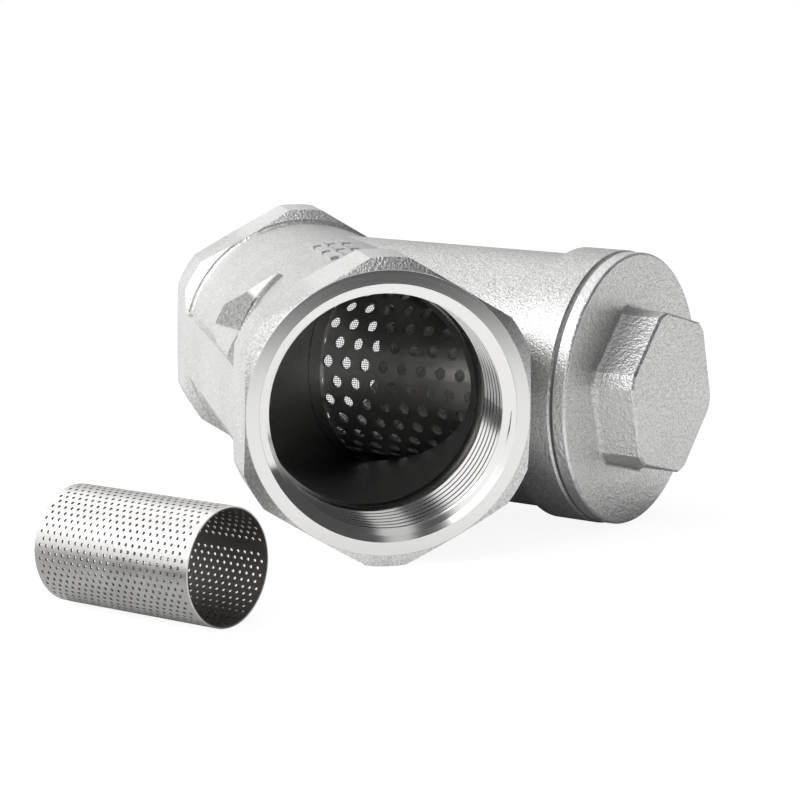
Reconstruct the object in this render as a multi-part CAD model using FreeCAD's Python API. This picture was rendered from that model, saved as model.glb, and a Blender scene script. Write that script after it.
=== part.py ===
import FreeCAD, Part
import os
from math import asin, cos, degrees, pi, radians, sin, sqrt, tan
from FreeCAD import Matrix, Placement, Vector

# Threaded Y strainer, lying on its side as in the photograph, with a loose screen beside it.
# Millimetres, +Z up. The origin is the centre of the outlet port's face. The pipe axis runs
# along +Y to the inlet, and the screen leg leans out to +X and back towards the outlet.

# Pipe run
port_to_port = 105.0
hex_across_flats = 48.0
hex_corner_radius = 26.0
hex_length = 16.5
hex_face_radius = 23.9
hex_chamfer_depth = 1.1
hex_shoulder_radius = 23.5
hex_shoulder_depth = 2.2
barrel_radius = 23.4
side_pad_height = 12.0
side_pad_top = 6.0

# Port threads, right-hand, 55 degree form
port_pitch = 2.309
port_major_radius = 20.955
port_crest_radius = 19.7
port_flank_angle = 27.5
port_root_flat = 0.38
port_thread_length = 17.0
port_relief_length = 3.0
port_relief_radius = 21.3
port_mouth_radius = 21.7
port_thread_start = 0.7

# Screen leg
leg_angle = 45.0
leg_crossing = 70.9
leg_radius = 23.0
leg_bore_radius = 19.4
collar_radius = 24.4
collar_start = 57.0
collar_step = 0.9
collar_edge = 0.4
leg_end = 65.4
leg_mouth_depth = 1.0
leg_mouth_play = 0.2

# Waterway and screen seat, as distances along the leg from the crossing of the two axes
waterway_radius = 19.2
seat_face = 10.3
seat_shoulder = 6.0
web_inlet_face = 2.6
seat_lip_radius = 16.2
seat_clearance = 0.1

# Cap thread, right-hand, 60 degree form
cap_pitch = 1.5
cap_major_radius = 21.0
cap_crest_radius = 20.2
cap_flank_angle = 30.0
cap_root_flat = 0.19
cap_thread_length = 10.5
cap_relief_length = 2.2
cap_relief_radius = 21.2
cap_flank_play = 0.16
cap_radial_play = 0.12

# Cap
cap_radius = 24.2
cap_flange_thickness = 2.4
cap_edge_round = 0.5
cap_lead_in = 0.8
cap_root_relief = 0.1
cap_spigot_length = 9.0
cap_undercut_length = 1.6
cap_web_thickness = 4.6
boss_across_flats = 27.0
boss_corner_radius = 14.9
boss_height = 8.0
boss_turn = 16.5
boss_edge_round = 0.5
boss_base_fillet = 1.0

# Gasket
gasket_thickness = 0.6
gasket_outer_radius = 24.1
gasket_bore_play = 0.1

# Fitted screen
screen_radius = 17.6
screen_sheet = 0.6
screen_end_play = 0.3
screen_hole_radius = 1.1
screen_hole_pitch = 4.12
screen_hole_rows = 30
screen_plain_end = 2.6
lining_thickness = 0.3
lining_play = 0.02
band_thickness = 0.5
band_length = 6.6
band_play = 0.02

# Loose screen
spare_radius = 9.4
spare_sheet = 0.35
spare_length = 32.0
spare_turn = 41.5
spare_mouth_x = -31.3
spare_mouth_y = -32.1
spare_seam_width = 3.0
spare_seam_thickness = 0.25
spare_seam_angle = 8.0

# Flow arrow on the barrel's side
arrow_rise = 0.8
arrow_angle = 155.5
arrow_tip = 26.0
arrow_wing_place = 33.2
arrow_wing_reach = 12.3
arrow_waist_place = 41.5
arrow_waist_reach = 6.0
arrow_tail = 52.0
arrow_tail_reach = 2.2
arrow_pad_reach = 5.0

# Plain raised dashes on top of the barrel
dash_rise = 0.5
dash_width = 1.5
dash_length = 7.0
dash_spacing = 9.5
dash_first = 27.0
dash_columns = 3
dash_angles = (89.0, 95.5, 102.0)

# Blend between a hexagon and the barrel
neck_blend = 0.9

# How far shapes reach into each other before they are fused, and cutters past what they cut
weld = 0.5
overshoot = 1.0
thread_overlap = 0.3

up = Vector(0, 0, 1)
along_pipe = Vector(0, 1, 0)
crossing = Vector(0, leg_crossing, 0)
leg_direction = Vector(sin(radians(leg_angle)), -cos(radians(leg_angle)), 0)
leg_side = up.cross(leg_direction)

# The two hexagons and the collar's end stand on the floor, so the strainer rolls about the pipe.
rest_roll = degrees(asin((hex_corner_radius - collar_radius) / (leg_end * sin(radians(leg_angle)))))
floor_height = -hex_corner_radius

port_bore_depth = port_thread_length + port_relief_length
cap_face = leg_end + gasket_thickness
cap_front = cap_face + cap_flange_thickness
cap_recess_end = cap_front - cap_web_thickness
screen_start = seat_shoulder + screen_end_play
screen_end = cap_recess_end - screen_end_play
lining_radius = screen_radius - screen_sheet - lining_play
band_inner_radius = screen_radius + band_play
band_radius = band_inner_radius + band_thickness
seat_radius = band_radius + seat_clearance
cap_recess_radius = screen_radius + seat_clearance


def along_leg(shape):
    """Moves a shape drawn about +Z from the origin to the leg's axis, +Z pointing outwards."""
    turned = shape.copy()
    frame = Matrix(
        leg_side.x, up.x, leg_direction.x, crossing.x,
        leg_side.y, up.y, leg_direction.y, crossing.y,
        leg_side.z, up.z, leg_direction.z, crossing.z,
        0, 0, 0, 1)
    turned.Placement = Placement(frame).multiply(turned.Placement)
    return turned


def from_outlet(shape):
    """Moves a shape drawn about +Z to the outlet port, +Z pointing into the body."""
    turned = shape.copy()
    turned.rotate(Vector(0, 0, 0), Vector(1, 0, 0), -90)
    return turned


def from_inlet(shape):
    """Moves a shape drawn about +Z to the inlet port, +Z pointing into the body."""
    turned = shape.copy()
    turned.rotate(Vector(0, 0, 0), Vector(1, 0, 0), 90)
    turned.translate(Vector(0, port_to_port, 0))
    return turned


def rod(radius, start, end):
    return Part.makeCylinder(radius, end - start, Vector(0, 0, start))


def tube(outer, inner, start, end):
    return rod(outer, start, end).cut(rod(inner, start, end))


def turned_solid(points):
    """A solid of revolution about +Z from (radius, height) points."""
    outline = Part.makePolygon([Vector(r, 0, z) for r, z in points + points[:1]])
    return Part.Face(outline).revolve(Vector(0, 0, 0), up, 360)


def hexagon(across_flats, length, start=0.0, turn=0.0):
    corner = across_flats / sqrt(3)
    angles = [radians(turn + 90 + 60 * k) for k in range(7)]
    outline = Part.makePolygon([Vector(corner * cos(a), corner * sin(a), start) for a in angles])
    return Part.Face(outline).extrude(Vector(0, 0, length))


def thread_cutter(pitch, inner, outer, inner_width, outer_width, start, end):
    """A right-hand helical cutter about +Z whose section narrows or widens between two radii."""
    helix = Part.makeLongHelix(pitch, end - start, inner, 0)
    corners = [
        Vector(inner, 0, -inner_width / 2),
        Vector(outer, 0, -outer_width / 2),
        Vector(outer, 0, outer_width / 2),
        Vector(inner, 0, inner_width / 2)]
    section = Part.makePolygon(corners + corners[:1])
    sweep = Part.BRepOffsetAPI.MakePipeShell(Part.Wire(helix))
    sweep.setFrenetMode(True)
    sweep.add(section)
    sweep.build()
    sweep.makeSolid()
    cutter = sweep.shape()
    cutter.translate(Vector(0, 0, start))
    return cutter


def port_cutter():
    """Everything that is machined out of one port, drawn about +Z from its face."""
    slope = tan(radians(port_flank_angle))
    inner = port_crest_radius - thread_overlap
    inner_width = port_root_flat + 2 * slope * (port_major_radius - inner)
    bore = rod(port_crest_radius, -overshoot, port_bore_depth)
    relief = rod(port_relief_radius, port_thread_length, port_bore_depth)
    mouth_depth = port_mouth_radius - port_crest_radius
    mouth = Part.makeCone(port_mouth_radius, port_crest_radius, mouth_depth)
    thread = thread_cutter(
        port_pitch, inner, port_major_radius, inner_width, port_root_flat,
        port_thread_start, port_thread_length + port_relief_length / 2)
    return [bore.fuse(relief).fuse(mouth), thread]


def leg_cutters():
    """The leg's bore, its cap thread and the screen seat, drawn about +Z along the leg."""
    slope = tan(radians(cap_flank_angle))
    inner = cap_crest_radius - thread_overlap
    inner_width = cap_root_flat + 2 * slope * (cap_major_radius - inner)
    thread_start = leg_end - cap_thread_length
    bore = rod(leg_bore_radius, seat_face, leg_end + overshoot)
    threaded = rod(cap_crest_radius, thread_start, leg_end + overshoot)
    relief = rod(cap_relief_radius, thread_start - cap_relief_length, thread_start)
    mouth = Part.makeCone(
        cap_crest_radius, cap_major_radius + leg_mouth_play, leg_mouth_depth,
        Vector(0, 0, leg_end - leg_mouth_depth))
    seat = rod(seat_radius, seat_shoulder, seat_face + overshoot)
    lip = rod(seat_lip_radius, web_inlet_face - overshoot, seat_shoulder + overshoot)
    thread = thread_cutter(
        cap_pitch, inner, cap_major_radius, inner_width, cap_root_flat,
        thread_start - cap_relief_length / 2, leg_end + 2 * cap_pitch)
    smooth = bore.fuse([threaded, relief, mouth, seat, lip])
    return [smooth, thread]


def half_space(distance, outwards):
    """A large block on one side of the plane across the leg at a distance from the crossing."""
    size = 2 * port_to_port
    block = Part.makeBox(size, size, size, Vector(-size / 2, -size / 2, 0))
    if not outwards:
        block.translate(Vector(0, 0, -size))
    block.translate(Vector(0, 0, distance))
    return along_leg(block)


def waterways():
    """The inlet passage and the outlet chamber, parted by the web that holds the seat."""
    passage = from_outlet(rod(
        waterway_radius, port_bore_depth - overshoot, port_to_port - port_bore_depth + overshoot))
    inlet_passage = passage.common(half_space(web_inlet_face, False))
    outlet_chamber = passage.common(half_space(seat_face, True))
    return [inlet_passage, outlet_chamber]


def hexagon_end():
    """One port's hexagon about +Z from its face, its corners and face turned."""
    turned = turned_solid([
        (0, 0), (hex_face_radius, 0), (hex_corner_radius, hex_chamfer_depth),
        (hex_corner_radius, hex_length - hex_shoulder_depth), (hex_shoulder_radius, hex_length),
        (0, hex_length)])
    prism = hexagon(hex_across_flats, hex_length).common(turned)
    neck_end = hex_length + neck_blend
    neck = tube(barrel_radius + neck_blend, barrel_radius - weld, hex_length - weld, neck_end)
    neck = neck.cut(Part.makeTorus(barrel_radius + neck_blend, neck_blend, Vector(0, 0, neck_end)))
    return prism.fuse(neck.common(hexagon(hex_across_flats, neck_end)))


def flow_arrow():
    """A raised arrow on the barrel that points to the outlet, its lower wing run into the pad."""
    sweep = (arrow_wing_place - arrow_tip) / arrow_wing_reach
    outline = [
        (0, arrow_tip), (arrow_wing_reach, arrow_wing_place),
        (arrow_waist_reach, arrow_waist_place), (arrow_tail_reach, arrow_tail),
        (-arrow_tail_reach, arrow_tail), (-arrow_pad_reach, arrow_waist_place),
        (-arrow_pad_reach, arrow_tip + sweep * arrow_pad_reach)]
    points = [Vector(x, y, 0) for x, y in outline]
    plate = Part.Face(Part.makePolygon(points + points[:1])).extrude(Vector(0, 0, 2 * barrel_radius))
    return on_barrel(plate, arrow_angle, arrow_rise)


def on_barrel(plate, angle, rise):
    """Lays an upright plate round the barrel at an angle from +X, standing up by its rise."""
    skin = from_outlet(tube(barrel_radius + rise, barrel_radius - weld, 0, port_to_port))
    turned = plate.copy()
    turned.rotate(Vector(0, 0, 0), along_pipe, 90 - angle)
    return turned.common(skin)


def raised_dashes():
    dashes = []
    for angle in dash_angles:
        for column in range(dash_columns):
            corner = Vector(-dash_width / 2, dash_first + column * dash_spacing, 0)
            bar = Part.makeBox(dash_width, dash_length, 2 * barrel_radius, corner)
            dashes.append(on_barrel(bar, angle, dash_rise))
    return dashes


def make_body():
    """The one-piece casting with its two ports, the screen leg and the seat."""
    outlet_end = from_outlet(hexagon_end())
    inlet_end = from_inlet(hexagon_end())
    barrel = from_outlet(rod(barrel_radius, hex_length / 2, port_to_port - hex_length / 2))
    leg = along_leg(rod(leg_radius, 0, collar_start - collar_step))
    collar = along_leg(turned_solid([
        (0, collar_start - 2 * collar_step), (leg_radius, collar_start - 2 * collar_step),
        (leg_radius, collar_start - collar_step),
        (collar_radius, collar_start), (collar_radius, leg_end - collar_edge),
        (collar_radius - collar_edge, leg_end), (0, leg_end)]))
    pad_depth = hex_across_flats / 2
    pad = Part.makeBox(
        pad_depth, port_to_port - hex_length, side_pad_height,
        Vector(-pad_depth, hex_length / 2, side_pad_top - side_pad_height))
    body = barrel.fuse([leg, outlet_end, inlet_end, collar, pad])
    body = body.fuse([flow_arrow()] + raised_dashes()).removeSplitter()
    for cavity in waterways():
        body = body.cut(cavity)
    for cutter in port_cutter():
        body = body.cut(from_outlet(cutter)).cut(from_inlet(cutter))
    for cutter in leg_cutters():
        body = body.cut(along_leg(cutter))
    return body


def make_cap():
    """The screw cap: a flange with a hexagon boss outside and a threaded spigot inside."""
    slope = tan(radians(cap_flank_angle))
    crest = cap_major_radius - cap_radial_play
    root = cap_crest_radius - cap_radial_play
    gap = cap_pitch - cap_root_flat + cap_flank_play
    crest_gap = gap - 2 * slope * cap_radial_play
    root_gap = crest_gap - 2 * slope * (crest - root)
    spigot_end = leg_end - cap_spigot_length
    neck = root - cap_root_relief
    flange = rod(cap_radius, cap_face, cap_front)
    rim = [e for e in flange.Edges if abs(e.BoundBox.ZMin - cap_front) < 0.01 and e.Closed]
    flange = flange.makeFillet(cap_edge_round, rim[:1])
    boss = hexagon(boss_across_flats, boss_height + weld, cap_front - weld, boss_turn)
    boss = boss.common(rod(boss_corner_radius, cap_front - weld, cap_front + boss_height))
    top = [e for e in boss.Edges if e.BoundBox.ZMin > cap_front + boss_height - 0.01]
    boss = boss.makeFillet(boss_edge_round, top)
    head = flange.fuse(boss).removeSplitter()
    base = [e for e in head.Edges if is_boss_base(e)]
    head = head.makeFillet(boss_base_fillet, base)
    spigot = turned_solid([
        (0, spigot_end), (crest - cap_lead_in, spigot_end), (crest, spigot_end + cap_lead_in),
        (crest, cap_face - cap_undercut_length), (neck, cap_face - cap_undercut_length),
        (neck, cap_face + weld), (0, cap_face + weld)])
    cap = head.fuse(spigot)
    cap = cap.cut(rod(cap_recess_radius, spigot_end - overshoot, cap_recess_end))
    thread_start = leg_end - cap_thread_length
    first_turn = thread_start - cap_relief_length / 2 + cap_pitch / 2
    outer = crest + cap_root_relief
    thread = thread_cutter(
        cap_pitch, root, outer, root_gap, crest_gap + 2 * slope * (outer - crest),
        first_turn, cap_face - cap_undercut_length / 2)
    return along_leg(cap.cut(thread))


def is_boss_base(edge):
    """True for the edges where the boss meets the cap's flange."""
    box = edge.BoundBox
    flat = abs(box.ZMin - cap_front) < 0.01 and abs(box.ZMax - cap_front) < 0.01
    middle = edge.valueAt((edge.FirstParameter + edge.LastParameter) / 2)
    return flat and sqrt(middle.x ** 2 + middle.y ** 2) < boss_corner_radius + 0.1


def make_gasket():
    bore = cap_major_radius + gasket_bore_play
    return along_leg(tube(gasket_outer_radius, bore, leg_end, cap_face))


def make_screen_tube():
    """The perforated tube: staggered round holes in rows along it."""
    sheet = tube(screen_radius, screen_radius - screen_sheet, screen_start, screen_end)
    first = screen_start + screen_plain_end + screen_hole_radius
    last = screen_end - screen_plain_end - screen_hole_radius
    punches = []
    for row in range(screen_hole_rows):
        turn = 2 * pi * (row + 0.5) / screen_hole_rows
        outwards = Vector(cos(turn), sin(turn), 0)
        height = first + (row % 2) * screen_hole_pitch / 2
        while height <= last:
            base = outwards * (screen_radius - 2 * screen_sheet) + up * height
            punches.append(Part.makeCylinder(screen_hole_radius, 3 * screen_sheet, base, outwards))
            height += screen_hole_pitch
    return along_leg(sheet.cut(Part.makeCompound(punches)))


def make_screen_lining():
    return along_leg(tube(lining_radius, lining_radius - lining_thickness, screen_start, screen_end))


def make_screen_end_band():
    return along_leg(tube(band_radius, band_inner_radius, screen_start, screen_start + band_length))


def make_spare_screen():
    """The loose screen on the floor: a rolled sheet with an overlapped seam along it."""
    sheet = tube(spare_radius, spare_radius - spare_sheet, 0, spare_length)
    inner = spare_radius - spare_sheet
    seam = tube(inner + spare_sheet / 2, inner - spare_seam_thickness, 0, spare_length)
    strip = Part.makeBox(spare_radius, spare_seam_width, spare_length, Vector(0, -spare_seam_width / 2, 0))
    strip.rotate(Vector(0, 0, 0), up, -spare_seam_angle)
    screen = sheet.fuse(seam.common(strip)).removeSplitter()
    screen.rotate(Vector(0, 0, 0), Vector(1, 0, 0), -90)
    screen.rotate(Vector(0, 0, 0), up, spare_turn)
    screen.translate(Vector(spare_mouth_x, spare_mouth_y, floor_height + spare_radius))
    return screen


def as_it_lies(shape):
    """Rolls a piece about the pipe's axis until the collar's end touches the floor."""
    rolled = shape.copy()
    rolled.rotate(Vector(0, 0, 0), along_pipe, rest_roll)
    return rolled


def write(name, shape):
    solids = shape.Solids
    solid = solids[0] if len(solids) == 1 else shape
    solid.exportStep(os.path.join("parts", name + ".step"))
    box = solid.BoundBox
    print(name, "solids", len(solids), "valid", solid.isValid(), "volume", round(solid.Volume, 1),
          "box", [round(v, 2) for v in (box.XMin, box.YMin, box.ZMin, box.XMax, box.YMax, box.ZMax)])


def main():
    os.makedirs("parts", exist_ok=True)
    write("body_casting", as_it_lies(make_body()))
    write("screw_cap", as_it_lies(make_cap()))
    write("cap_gasket", as_it_lies(make_gasket()))
    write("screen_tube", as_it_lies(make_screen_tube()))
    write("screen_mesh_lining", as_it_lies(make_screen_lining()))
    write("screen_end_band", as_it_lies(make_screen_end_band()))
    write("spare_screen", make_spare_screen())
    axis = as_it_lies(Part.makeLine(crossing, crossing + leg_direction))
    ends = [v.Point for v in axis.Vertexes]
    print("leg axis from", ends[0], "towards", ends[1] - ends[0], "roll", round(rest_roll, 4))


main()
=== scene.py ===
from math import cos, radians, sin, sqrt, tau

import bmesh
import bpy
from mathutils import Matrix, Vector


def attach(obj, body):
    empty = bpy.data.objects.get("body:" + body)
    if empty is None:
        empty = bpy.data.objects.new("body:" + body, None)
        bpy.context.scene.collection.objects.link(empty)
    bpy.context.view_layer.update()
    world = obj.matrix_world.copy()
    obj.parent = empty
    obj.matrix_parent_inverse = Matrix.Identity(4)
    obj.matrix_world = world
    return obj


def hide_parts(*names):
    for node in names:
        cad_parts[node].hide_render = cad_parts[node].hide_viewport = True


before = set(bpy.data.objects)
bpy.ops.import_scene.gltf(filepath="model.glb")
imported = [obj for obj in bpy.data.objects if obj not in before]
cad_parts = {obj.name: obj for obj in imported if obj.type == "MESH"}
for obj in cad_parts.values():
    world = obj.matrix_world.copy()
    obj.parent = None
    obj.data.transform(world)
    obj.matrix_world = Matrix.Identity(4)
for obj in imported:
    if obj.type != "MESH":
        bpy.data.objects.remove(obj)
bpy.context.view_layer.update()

# Threaded Y strainer lying on its side, with a loose screen in front of it.
# Metres, +Z up, in the frame of the solids: the origin is the centre of the outlet port's face.
MM = 0.001

# Sizes of the solids that the finishes and the replaced pieces follow
port_to_port = 105 * MM
port_opening_radius = 21.75 * MM
port_mouth_radius = 21.7 * MM
port_mouth_depth = 2.1 * MM
port_machined_depth = 20.1 * MM
hex_face_radius = 23.9 * MM
hex_end = 16.2 * MM
hex_chamfer_end = 1.2 * MM
barrel_radius = 23.4 * MM
arrow_top_radius = 24.2 * MM
leg_crossing = Vector((0, 70.9 * MM, 0))
leg_angle = radians(45)
leg_roll = radians(1.9827)
leg_axis = Vector((
    sin(leg_angle) * cos(leg_roll), -cos(leg_angle), -sin(leg_angle) * sin(leg_roll)))
cap_face = 66.0 * MM
cap_front = 68.4 * MM
boss_front = 76.4 * MM
cap_radius = 24.2 * MM
lining_radius = 16.98 * MM
lining_pitch = 0.4 * MM
floor_height = -26 * MM

# Grain of the cast skin, as noise scales to the metre, and how far it stands up
grain_scale = 2600.0
gravel_scale = 1700.0
lump_scale = 900.0
cap_lump_scale = 1000.0
skin_height = 0.14 * MM
sheet_grain_height = 0.012 * MM

# The direction that the outlet's mouth cone faces in its shading, towards the bright left wall
cone_facing = (-0.35, -0.924, 0.157)

# The floor: its own glow for the camera and for metal, its greys, and where it turns dark in front
floor_glow = 0.9
floor_glow_in_metal = 0.55
floor_level = 0.25
floor_in_metal = 0.6
dark_floor_in_metal = 0.06
white_floor_from = -0.2
dark_floor_from = -0.34
floor_reach = 3.0
floor_gap = 0.02 * MM

# The one lamp
lamp_place = Vector((-0.75, -0.2, 0.7))
lamp_aim = Vector((0, 0.03, 0))
lamp_size = 0.7
lamp_power = 4.0

# Loose screen
spare_radius = 9.4 * MM
spare_sheet = 0.35 * MM
spare_length = 32.0 * MM
spare_turn = radians(41.5)
spare_mouth = Vector((-31.3 * MM, -32.1 * MM, floor_height + spare_radius))
spare_rows = 52
spare_holes_along = 22
spare_hole_radius = 0.29 * MM
spare_seam_rows = 1.3
spare_margin_pitches = 0.35
spare_seam_turn = radians(8)
spare_seam_steps = 3

# Camera, fitted to the photograph with the strainer's leg level, and then rolled with the strainer
image_side = 800
focal_pixels = 2517
sensor_width = 36.0
camera_place = Vector((-77.70, -402.60, 68.65)) * MM
camera_yaw = radians(11.1625)
camera_pitch = radians(9.1785)
camera_roll = radians(-0.9061)


class Wire:
    """A node's output that takes part in Python arithmetic by adding Math nodes."""

    def __init__(self, nodes, socket):
        self.nodes = nodes
        self.socket = socket

    def math(self, operation, *values):
        return self.nodes.add("ShaderNodeMath", {"operation": operation}, dict(enumerate(values)))

    def __add__(self, other):
        return self.math("ADD", self, other)

    __radd__ = __add__

    def __sub__(self, other):
        return self.math("SUBTRACT", self, other)

    def __rsub__(self, other):
        return self.math("SUBTRACT", other, self)

    def __mul__(self, other):
        return self.math("MULTIPLY", self, other)

    __rmul__ = __mul__

    def __pow__(self, other):
        return self.math("POWER", self, other)

    def __gt__(self, other):
        return self.math("GREATER_THAN", self, other)


class Nodes:
    """Adds nodes to one tree, which starts empty."""

    def __init__(self, owner):
        owner.use_nodes = True
        self.tree = owner.node_tree
        self.tree.nodes.clear()

    def add(self, kind, settings=None, inputs=None, output=0):
        """A new node with its settings and its input values or wires; gives one output's wire."""
        node = self.tree.nodes.new(kind)
        for name, value in (settings or {}).items():
            if name == "stops":
                self.set_stops(node.color_ramp, value)
            else:
                setattr(node, name, value)
        for key, value in (inputs or {}).items():
            if isinstance(value, Wire):
                self.tree.links.new(value.socket, node.inputs[key])
            else:
                node.inputs[key].default_value = value
        return Wire(self, node.outputs[output]) if node.outputs else node

    @staticmethod
    def set_stops(ramp, stops):
        while len(ramp.elements) < len(stops):
            ramp.elements.new(1.0)
        for element, (place, colour) in zip(ramp.elements, stops):
            element.position = place
            element.color = colour

    def rise(self, value, low, high):
        """0 below low, 1 above high, smooth between them."""
        return self.add(
            "ShaderNodeMapRange", {"interpolation_type": "SMOOTHSTEP"},
            {"Value": value, "From Min": low, "From Max": high})

    def noise(self, place, scale, detail=2.0, roughness=0.5):
        return self.add(
            "ShaderNodeTexNoise", {},
            {"Vector": place, "Scale": scale, "Detail": detail, "Roughness": roughness}, "Fac")

    def ramp(self, value, low, high):
        """A colour that runs from one stop to another; each stop is a place and a colour."""
        return self.add("ShaderNodeValToRGB", {"stops": [low, high]}, {0: value}, "Color")

    def blend(self, factor, first, second):
        """Mixes two colours."""
        return self.add(
            "ShaderNodeMix", {"data_type": "RGBA"},
            {"Factor": factor, 6: first, 7: second}, 2)

    def blend_numbers(self, factor, first, second):
        return first + factor * (second - first)

    def largest(self, first, *others):
        for value in others:
            first = self.add("ShaderNodeMath", {"operation": "MAXIMUM"}, {0: first, 1: value})
        return first

    def facing(self, factor, direction, own=None):
        """The surface's normal, or the one given, turned to a direction where the factor is 1."""
        own = own or self.add("ShaderNodeNewGeometry", {}, {}, "Normal")
        mixed = self.add(
            "ShaderNodeMix", {"data_type": "VECTOR"}, {"Factor": factor, 4: own, 5: direction}, 1)
        return self.add("ShaderNodeVectorMath", {"operation": "NORMALIZE"}, {0: mixed})

    def parts(self, vector):
        """The three coordinates of a vector as wires."""
        node = self.tree.nodes.new("ShaderNodeSeparateXYZ")
        self.tree.links.new(vector.socket, node.inputs[0])
        return [Wire(self, node.outputs[k]) for k in range(3)]


def grey(level, warmth=0.0):
    return (level, level * (1 - 0.4 * warmth), level * (1 - warmth), 1.0)


def finish_surface(
        nodes, colour, roughness, height, distance, metallic=1.0, alpha=None, facing=None):
    """The surface shader and output that every material here ends in."""
    inputs = {"Base Color": colour, "Metallic": metallic, "Roughness": roughness}
    bump = {"Height": height, "Distance": distance, "Strength": 1.0}
    if facing is not None:
        bump["Normal"] = facing
    inputs["Normal"] = nodes.add("ShaderNodeBump", {}, bump, "Normal")
    if alpha is not None:
        inputs["Alpha"] = alpha
    surface = nodes.add("ShaderNodeBsdfPrincipled", {}, inputs)
    nodes.add("ShaderNodeOutputMaterial", {}, {"Surface": surface})


def object_place(nodes):
    return nodes.add("ShaderNodeTexCoord", {}, {}, "Object")


def leg_coordinates(nodes, place):
    """Distance along the leg from the crossing, and distance from its axis."""
    x, y, z = nodes.parts(place)
    y_off = y - leg_crossing.y
    along = x * leg_axis.x + y_off * leg_axis.y + z * leg_axis.z
    squared = x * x + y_off * y_off + z * z - along * along
    return along, squared ** 0.5


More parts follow.
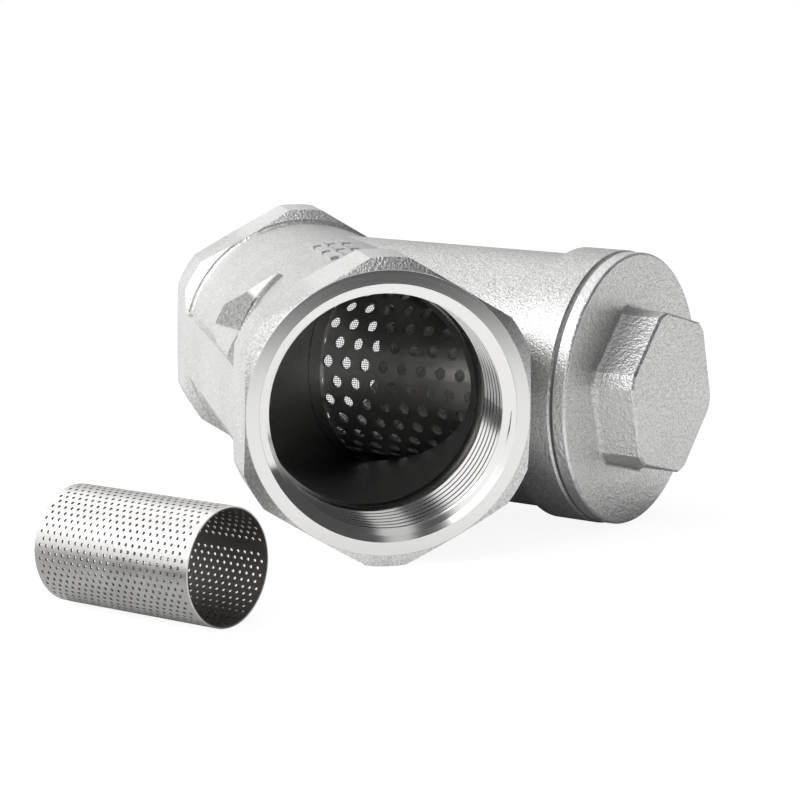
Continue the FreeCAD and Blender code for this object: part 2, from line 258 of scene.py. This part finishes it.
def cast_steel():
    """Bead-blasted casting with machined port faces, mouths and threads, and an arrow in painted
    shade.
    """
    material = bpy.data.materials.new("cast_steel_finish")
    nodes = Nodes(material)
    place = object_place(nodes)
    x, y, z = nodes.parts(place)
    radius = (x * x + z * z) ** 0.5
    depth = port_to_port / 2 - nodes.add(
        "ShaderNodeMath", {"operation": "ABSOLUTE"}, {0: y - port_to_port / 2})

    in_bore = (1 - nodes.rise(radius, port_opening_radius, port_opening_radius + 0.1 * MM)) \
        * (1 - nodes.rise(depth, port_machined_depth, port_machined_depth + 0.4 * MM))
    on_face = (1 - nodes.rise(depth, 0.05 * MM, 0.12 * MM)) \
        * (1 - nodes.rise(radius, hex_face_radius, hex_face_radius + 0.1 * MM))
    machined = nodes.largest(in_bore, on_face)
    # Painted shade: the waterway deep in the bores, from the end of the machined thread on, is
    # painted darker.
    shaded_bore = nodes.rise(depth, port_machined_depth - 2 * MM, port_machined_depth) \
        * (1 - nodes.rise(radius, port_opening_radius - 2.2 * MM, port_opening_radius - 2 * MM))
    from_cone = radius + depth - port_mouth_radius
    mouth_cone = nodes.rise(from_cone, -0.12 * MM, -0.07 * MM) \
        * (1 - nodes.rise(from_cone, 0.07 * MM, 0.12 * MM)) \
        * nodes.rise(depth, 0.02 * MM, 0.06 * MM) \
        * (1 - nodes.rise(depth, port_mouth_depth, port_mouth_depth + 0.1 * MM))
    lit_cone = mouth_cone * (1 - nodes.rise(y, 10 * MM, 20 * MM)) \
        * nodes.rise(z, -17 * MM, -5 * MM)

    on_hexagon = (1 - nodes.rise(depth, hex_end, hex_end + 0.2 * MM)) \
        * nodes.rise(radius, hex_face_radius, hex_face_radius + 0.1 * MM)
    # Painted highlight: the top corner of each port hexagon is painted lighter; it also gets the
    # gravel bump.
    highlit_top_corner = on_hexagon * nodes.rise(z, 20 * MM, 22 * MM) * (1 - nodes.rise(x, 7 * MM, 10 * MM))
    smooth_edge = on_hexagon * (1 - highlit_top_corner) \
        * (1 - nodes.rise(depth, hex_chamfer_end, hex_chamfer_end + 0.3 * MM))

    arrow_side = nodes.rise(0 - x, 12 * MM, 13 * MM) * nodes.rise(depth, 20 * MM, 21 * MM)
    arrow = arrow_side * nodes.rise(z + y * 0.084, 13.4 * MM, 13.9 * MM) \
        * nodes.rise(radius, arrow_top_radius - 0.3 * MM, arrow_top_radius - 0.15 * MM)
    # Painted highlight: the arrow's upper tip is painted near white.
    arrow_tip_highlight = nodes.rise(z, 16 * MM, 16.8 * MM)
    arrow_wall = arrow_side * nodes.rise(z, 6.9 * MM, 7.2 * MM) \
        * nodes.rise(radius, barrel_radius + 0.03 * MM, barrel_radius + 0.08 * MM) \
        * (1 - nodes.rise(radius, arrow_top_radius - 0.08 * MM, arrow_top_radius - 0.03 * MM))

    grain = nodes.noise(place, grain_scale, 2.0, 0.6)
    lumps = nodes.noise(place, lump_scale, 2.0, 0.5)
    gravel = nodes.noise(place, gravel_scale, 2.0, 0.6)
    patches = nodes.noise(place, 70.0, 3.0, 0.6)
    lathe = nodes.noise(nodes.add(
        "ShaderNodeCombineXYZ", {}, {0: radius * 9000.0, 1: depth * 9000.0}), 1.0, 1.0)

    cast_colour = nodes.ramp(
        grain * 0.8 + patches * 0.2, (0.3, grey(0.48, 0.02)), (0.7, grey(0.95, 0.01)))
    # Painted shade: the arrow is painted dark grey with gravel speckle.
    arrow_shade_colour = nodes.blend(
        nodes.rise(gravel, 0.35, 0.65), grey(0.14, 0.02), grey(0.55, 0.02))
    arrow_shade_colour = nodes.blend(arrow_tip_highlight, arrow_shade_colour, grey(0.98, 0.01))
    colour = nodes.blend(machined, cast_colour, grey(0.80, 0.02))
    # Painted highlight on the hexagons' top corners.
    colour = nodes.blend(highlit_top_corner * 0.5, colour, grey(0.95, 0.01))
    # Painted shade deep in the bores.
    colour = nodes.blend(shaded_bore, colour, grey(0.42, 0.02))
    colour = nodes.blend(arrow, colour, arrow_shade_colour)

    machined_roughness = nodes.blend_numbers(mouth_cone, 0.10 + 0.08 * lathe, 0.2)
    roughness = nodes.blend_numbers(machined, 0.34 + 0.12 * patches, machined_roughness)

    gravelled = nodes.largest(arrow * (1 - arrow_tip_highlight), highlit_top_corner)
    skin = (grain + lumps * (0.8 - 0.6 * on_hexagon)) * (1 - 0.8 * smooth_edge)
    height = (1 - machined) * (skin + gravelled * gravel * 1.5) + machined * lathe * 0.02
    outwards = nodes.add("ShaderNodeVectorMath", {"operation": "NORMALIZE"}, {
        0: nodes.add("ShaderNodeCombineXYZ", {}, {0: x, 2: z})})
    facing = nodes.facing(arrow_wall * 0.85, outwards, nodes.facing(lit_cone, cone_facing))
    finish_surface(nodes, colour, roughness, height, skin_height, facing=facing)
    return material


def blasted_cap():
    """The cap: bead-blasted flange, rougher boss sides, machined spigot, painted highlight on rim
    and boss sides.
    """
    material = bpy.data.materials.new("cap_finish")
    nodes = Nodes(material)
    place = object_place(nodes)
    along, radius = leg_coordinates(nodes, place)
    rim = nodes.rise(radius, cap_radius - 0.45 * MM, cap_radius - 0.3 * MM)
    machined = 1 - nodes.rise(along, cap_face - 0.05 * MM, cap_face + 0.05 * MM)
    boss_sides = nodes.rise(along, cap_front + 0.3 * MM, cap_front + 0.8 * MM) \
        * (1 - nodes.rise(along, boss_front - 0.5 * MM, boss_front - 0.2 * MM))

    grain = nodes.noise(place, grain_scale, 2.0, 0.6)
    lumps = nodes.noise(place, cap_lump_scale, 2.0, 0.5)
    gravel = nodes.noise(place, gravel_scale, 2.0, 0.6)
    patches = nodes.noise(place, 60.0, 3.0, 0.6)

    cast_colour = nodes.ramp(
        grain * 0.8 + patches * 0.2, (0.3, grey(0.48, 0.02)), (0.7, grey(0.92, 0.01)))
    colour = nodes.blend(machined, cast_colour, grey(0.85, 0.02))
    # Painted highlight: the rim and the boss sides are painted lighter.
    colour = nodes.blend(nodes.largest(boss_sides, rim) * 0.6, colour, grey(0.97, 0.01))
    roughness = nodes.blend_numbers(machined, 0.36 + 0.1 * patches, 0.38)
    height = (1 - machined) * (grain + lumps + boss_sides * gravel * 1.2)
    finish_surface(nodes, colour, roughness, height, skin_height)
    return material


def sealing_ring():
    """The gasket's dark grey flecked sheet."""
    material = bpy.data.materials.new("sealing_ring")
    nodes = Nodes(material)
    fleck = nodes.noise(object_place(nodes), 1800.0, 2.0)
    colour = nodes.ramp(fleck, (0.3, grey(0.20)), (0.8, grey(0.30)))
    finish_surface(nodes, colour, 0.55 + 0.1 * fleck, fleck, 0.03 * MM, 0.0)
    return material


def rolled_sheet(name, level, roughness):
    """Smooth rolled stainless sheet with faint cloudy marks."""
    material = bpy.data.materials.new(name)
    nodes = Nodes(material)
    place = object_place(nodes)
    clouds = nodes.noise(place, 260.0, 3.0, 0.6)
    fine = nodes.noise(place, grain_scale, 2.0, 0.5)
    colour = nodes.ramp(
        clouds * 0.7 + fine * 0.3, (0.3, grey(level * 0.88, 0.02)), (0.7, grey(level, 0.02)))
    finish_surface(nodes, colour, roughness + 0.1 * clouds, fine, sheet_grain_height)
    return material


def loose_sheet():
    """The loose screen's sheet: bright rolled steel outside, dark brown-grey on the inner face."""
    material = bpy.data.materials.new("loose_sheet")
    nodes = Nodes(material)
    place = object_place(nodes)
    x, y, z = nodes.parts(place)
    x_off, y_off, z_off = x - spare_mouth.x, y - spare_mouth.y, z - spare_mouth.z
    along = x_off * -sin(spare_turn) + y_off * cos(spare_turn)
    from_axis = (x_off * x_off + y_off * y_off + z_off * z_off - along * along) ** 0.5
    outside = nodes.rise(
        from_axis, spare_radius - 0.75 * spare_sheet, spare_radius - 0.45 * spare_sheet)
    clouds = nodes.noise(place, 260.0, 3.0, 0.6)
    fine = nodes.noise(place, grain_scale, 2.0, 0.5)
    bright = nodes.ramp(
        clouds * 0.6 + fine * 0.4, (0.3, grey(0.66, 0.03)), (0.7, grey(0.80, 0.03)))
    colour = nodes.blend(outside, grey(0.22, 0.12), bright)
    roughness = nodes.blend_numbers(outside, 0.6, 0.24 + 0.12 * clouds)
    finish_surface(nodes, colour, roughness, fine, sheet_grain_height)
    return material


def woven_mesh():
    """Fine wire cloth rolled into a tube: the gaps between the wires are open."""
    material = bpy.data.materials.new("woven_mesh")
    nodes = Nodes(material)
    place = object_place(nodes)
    x, y, z = nodes.parts(place)
    y_off = y - leg_crossing.y
    along = x * leg_axis.x + y_off * leg_axis.y + z * leg_axis.z
    side = Vector((0, 0, 1)).cross(leg_axis).normalized()
    above = leg_axis.cross(side)
    across = x * side.x + y_off * side.y + z * side.z
    raised = x * above.x + y_off * above.y + z * above.z
    turn = nodes.add("ShaderNodeMath", {"operation": "ARCTAN2"}, {0: raised, 1: across})
    wires_round = round(tau * lining_radius / lining_pitch)
    round_phase, along_phase = turn * float(wires_round), along * (tau / lining_pitch)
    round_wave = nodes.add("ShaderNodeMath", {"operation": "SINE"}, {0: round_phase})
    along_wave = nodes.add("ShaderNodeMath", {"operation": "SINE"}, {0: along_phase})
    wire_edge = 0.62
    wire = nodes.largest(round_wave > wire_edge, along_wave > wire_edge)
    outer_skin = (across * across + raised * raised) ** 0.5 > lining_radius - 0.1 * MM
    weave = round_wave * 0.5 + along_wave * 0.5
    finish_surface(nodes, grey(0.42, 0.03), 0.35, weave, 0.05 * MM, alpha=wire * outer_skin)
    return material


def shown_directly(nodes):
    """1 for rays from the camera, also those that went on through something."""
    seen = nodes.add("ShaderNodeLightPath", {}, {}, "Is Camera Ray")
    passed = nodes.add("ShaderNodeLightPath", {}, {}, "Is Transmission Ray")
    return nodes.largest(seen, passed)


def pale_floor():
    """Floor that is white to the camera. Metal sees it bright, shaded, and dark far in front."""
    material = bpy.data.materials.new("pale_floor")
    nodes = Nodes(material)
    x, y, z = nodes.parts(object_place(nodes))
    near = nodes.rise(y, dark_floor_from, white_floor_from)
    corner = nodes.rise(0 - x, 0.06, 0.1) * nodes.rise(0 - y, 0.0, 0.04)
    lit = near * (1 - corner)
    ahead = nodes.rise(x, -0.03, -0.015) * nodes.rise(0 - y, -0.012, 0.004)
    left = nodes.rise(0 - x, 0.035, 0.05) * nodes.rise(y, 0.0, 0.03)
    right = nodes.rise(x, 0.06, 0.075)
    glowing = lit * nodes.largest(ahead, left, right)
    mirrored = nodes.add("ShaderNodeLightPath", {}, {}, "Is Glossy Ray")
    mirror_colour = nodes.blend(lit, grey(dark_floor_in_metal), grey(floor_in_metal))
    colour = nodes.blend(mirrored, grey(floor_level), mirror_colour)
    matt = nodes.add("ShaderNodeBsdfDiffuse", {}, {"Color": colour})
    strength = shown_directly(nodes) * floor_glow + mirrored * glowing * floor_glow_in_metal
    glow = nodes.add("ShaderNodeEmission", {}, {"Color": grey(1.0), "Strength": strength})
    both = nodes.add("ShaderNodeAddShader", {}, {0: matt, 1: glow})
    nodes.add("ShaderNodeOutputMaterial", {}, {"Surface": both})
    return material


class PerforatedSheet:
    """A flat sheet of staggered round holes with a plain seam strip, which is then rolled up."""

    def __init__(self):
        self.mesh = bmesh.new()
        self.corners = {}
        self.row_width = tau * spare_radius / (spare_rows + spare_seam_rows)
        self.pitch = spare_length / (spare_holes_along + 0.5 + 2 * spare_margin_pitches)
        self.margin = spare_margin_pitches * self.pitch

    def corner(self, across, along):
        key = (round(across / MM * 2000), round(along / MM * 2000))
        if key not in self.corners:
            self.corners[key] = self.mesh.verts.new((across, along, 0))
        return self.corners[key]

    def patch(self, low_across, high_across, low_along, high_along):
        """A plain rectangle of sheet."""
        self.mesh.faces.new([
            self.corner(low_across, low_along), self.corner(high_across, low_along),
            self.corner(high_across, high_along), self.corner(low_across, high_along)])

    def hole(self, across, along):
        """One hole and the sheet round it, out to the edges that its neighbours share."""
        half, quarter = self.row_width / 2, self.pitch / 4
        rim = [
            (half, 0), (half, quarter), (half, 2 * quarter), (0, 2 * quarter),
            (-half, 2 * quarter), (-half, quarter), (-half, 0), (-half, -quarter),
            (-half, -2 * quarter), (0, -2 * quarter), (half, -2 * quarter), (half, -quarter)]
        outer = [self.corner(across + a, along + b) for a, b in rim]
        inner = []
        for a, b in rim:
            reach = spare_hole_radius / sqrt(a * a + b * b)
            inner.append(self.mesh.verts.new((across + a * reach, along + b * reach, 0)))
        for k in range(len(rim)):
            following = (k + 1) % len(rim)
            self.mesh.faces.new([outer[k], outer[following], inner[following], inner[k]])

    def fill_row(self, low, high, along_lines):
        """Plain sheet between two lines along the tube, cut at the lines across it."""
        for below, above in zip(along_lines, along_lines[1:]):
            self.patch(low, high, below, above)

    def build(self):
        """Rows of holes, every second one half a pitch further on, and then the seam strip."""
        quarter = self.pitch / 4
        first = self.margin
        last = first + (spare_holes_along + 0.5) * self.pitch
        quarters = 4 * spare_holes_along + 2
        lines = [0] + [first + k * quarter for k in range(quarters + 1)] + [spare_length]
        for row in range(spare_rows):
            low = row * self.row_width
            middle, high = low + self.row_width / 2, low + self.row_width
            shift = 2 * (row % 2)
            start = first + shift * quarter
            for k in range(spare_holes_along):
                self.hole(middle, start + (k + 0.5) * self.pitch)
            end_lines = [lines[:2 + shift], lines[2 + shift + 4 * spare_holes_along - 1:]]
            for half_low, half_high in ((low, middle), (middle, high)):
                for part in end_lines:
                    self.fill_row(half_low, half_high, part)
        low = spare_rows * self.row_width
        width = (tau * spare_radius - low) / spare_seam_steps
        for k in range(spare_seam_steps):
            self.fill_row(low + k * width, low + (k + 1) * width, lines)
        return self.mesh


def roll_up(mesh):
    """Rolls the flat sheet round the loose screen's axis and gives it its thickness."""
    axis = Vector((-sin(spare_turn), cos(spare_turn), 0))
    side = Vector((cos(spare_turn), sin(spare_turn), 0))
    seam_width = tau * spare_radius * spare_seam_rows / (spare_rows + spare_seam_rows)
    for vertex in mesh.verts:
        across, along, _ = vertex.co
        turn = spare_seam_turn + (across + seam_width / 2) / spare_radius
        outwards = side * cos(turn) + Vector((0, 0, 1)) * sin(turn)
        vertex.co = spare_mouth + axis * along + outwards * spare_radius
    bmesh.ops.remove_doubles(mesh, verts=mesh.verts, dist=0.002 * MM)
    bmesh.ops.recalc_face_normals(mesh, faces=mesh.faces)
    middle = spare_mouth + axis * (spare_length / 2)
    sample = mesh.faces[:][0]
    centre = sample.calc_center_median()
    radial = centre - middle
    radial -= axis * radial.dot(axis)
    if sample.normal.dot(radial) < 0:
        bmesh.ops.reverse_faces(mesh, faces=mesh.faces)
    bmesh.ops.solidify(mesh, geom=mesh.faces[:], thickness=spare_sheet)


def make_loose_screen(finish):
    """The perforated sheet that stands in for the plain loose screen."""
    mesh = PerforatedSheet().build()
    roll_up(mesh)
    data = bpy.data.meshes.new("loose_screen_sheet")
    mesh.to_mesh(data)
    mesh.free()
    for face in data.polygons:
        face.use_smooth = True
    data.set_sharp_from_angle(angle=radians(40))
    screen = bpy.data.objects.new("loose_screen_sheet", data)
    bpy.context.scene.collection.objects.link(screen)
    data.materials.append(finish)
    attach(screen, "loose_screen")
    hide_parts("spare_screen")


def make_camera():
    """The camera that was fitted to the photograph."""
    forward = Vector((
        sin(camera_yaw) * cos(camera_pitch),
        cos(camera_yaw) * cos(camera_pitch),
        -sin(camera_pitch)))
    level_right = Vector((cos(camera_yaw), -sin(camera_yaw), 0))
    level_down = forward.cross(level_right)
    right = level_right * cos(camera_roll) + level_down * sin(camera_roll)
    down = level_down * cos(camera_roll) - level_right * sin(camera_roll)
    data = bpy.data.cameras.new("camera")
    data.sensor_width = sensor_width
    data.lens = sensor_width * focal_pixels / image_side
    data.clip_start = 0.01
    data.clip_end = 20.0
    camera = bpy.data.objects.new("camera", data)
    turn = Matrix((right, -down, -forward)).transposed()
    rolled = Matrix.Rotation(leg_roll, 4, "Y")
    camera.matrix_world = rolled @ Matrix.Translation(camera_place) @ turn.to_4x4()
    bpy.context.scene.collection.objects.link(camera)
    bpy.context.scene.camera = camera


def make_floor(finish):
    """A large flat floor just under the object."""
    data = bpy.data.meshes.new("floor")
    corners = [
        (-floor_reach, -floor_reach), (floor_reach, -floor_reach),
        (floor_reach, floor_reach), (-floor_reach, floor_reach)]
    data.from_pydata([(x, y, floor_height - floor_gap) for x, y in corners], [], [(0, 1, 2, 3)])
    data.materials.append(finish)
    floor = bpy.data.objects.new("floor", data)
    bpy.context.scene.collection.objects.link(floor)


def make_lamp():
    """The soft square lamp above the left side."""
    data = bpy.data.lights.new("key", "AREA")
    data.shape = "RECTANGLE"
    data.size = lamp_size
    data.size_y = lamp_size
    data.energy = lamp_power
    lamp = bpy.data.objects.new("key", data)
    lamp.location = lamp_place
    lamp.rotation_euler = (lamp_aim - lamp_place).to_track_quat("-Z", "Y").to_euler()
    bpy.context.scene.collection.objects.link(lamp)


def make_world():
    """White to the camera. Everything else sees a room with bright and dark sides."""
    world = bpy.data.worlds.new("studio")
    bpy.context.scene.world = world
    nodes = Nodes(world)
    direction = nodes.add("ShaderNodeTexCoord", {}, {}, "Generated")
    x, y, z = nodes.parts(direction)
    backdrop = nodes.rise(y, 0.1, 0.7) * (0.34 + 0.5 * nodes.rise(0 - x, -0.35, 0.3)) \
        * (1 + 1.2 * nodes.rise(z, 0.4, 0.8))
    left_wall = 1.05 * nodes.rise(0 - x, 0.24, 0.34) \
        * nodes.rise(z, -0.02, 0.04) * (1 - nodes.rise(z, 0.84, 0.9))
    ceiling = 0.6 * nodes.rise(z, 0.5, 0.6) \
        * nodes.rise(x, -0.06, 0.0) * (1 - nodes.rise(x, 0.2, 0.26))
    right_wall = 0.5 * nodes.rise(x, 0.4, 0.8) * (1 - nodes.rise(z, 0.05, 0.25))
    room = 0.08 + nodes.largest(backdrop, left_wall, ceiling, right_wall)
    strength = nodes.blend_numbers(shown_directly(nodes), room, 1.0)
    background = nodes.add("ShaderNodeBackground", {}, {"Color": grey(1.0), "Strength": strength})
    nodes.add("ShaderNodeOutputWorld", {}, {"Surface": background})


def dress(node, finish):
    """Gives a solid from the frame its finish."""
    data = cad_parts[node].data
    data.materials.clear()
    data.materials.append(finish)


def main():
    dress("body_casting", cast_steel())
    dress("screw_cap", blasted_cap())
    dress("cap_gasket", sealing_ring())
    dress("screen_tube", rolled_sheet("screen_sheet", 0.8, 0.26))
    dress("screen_mesh_lining", woven_mesh())
    dress("screen_end_band", rolled_sheet("band_sheet", 0.7, 0.2))
    make_loose_screen(loose_sheet())
    make_floor(pale_floor())
    make_lamp()
    make_world()
    make_camera()
    bpy.context.scene.view_settings.view_transform = "Standard"


main()
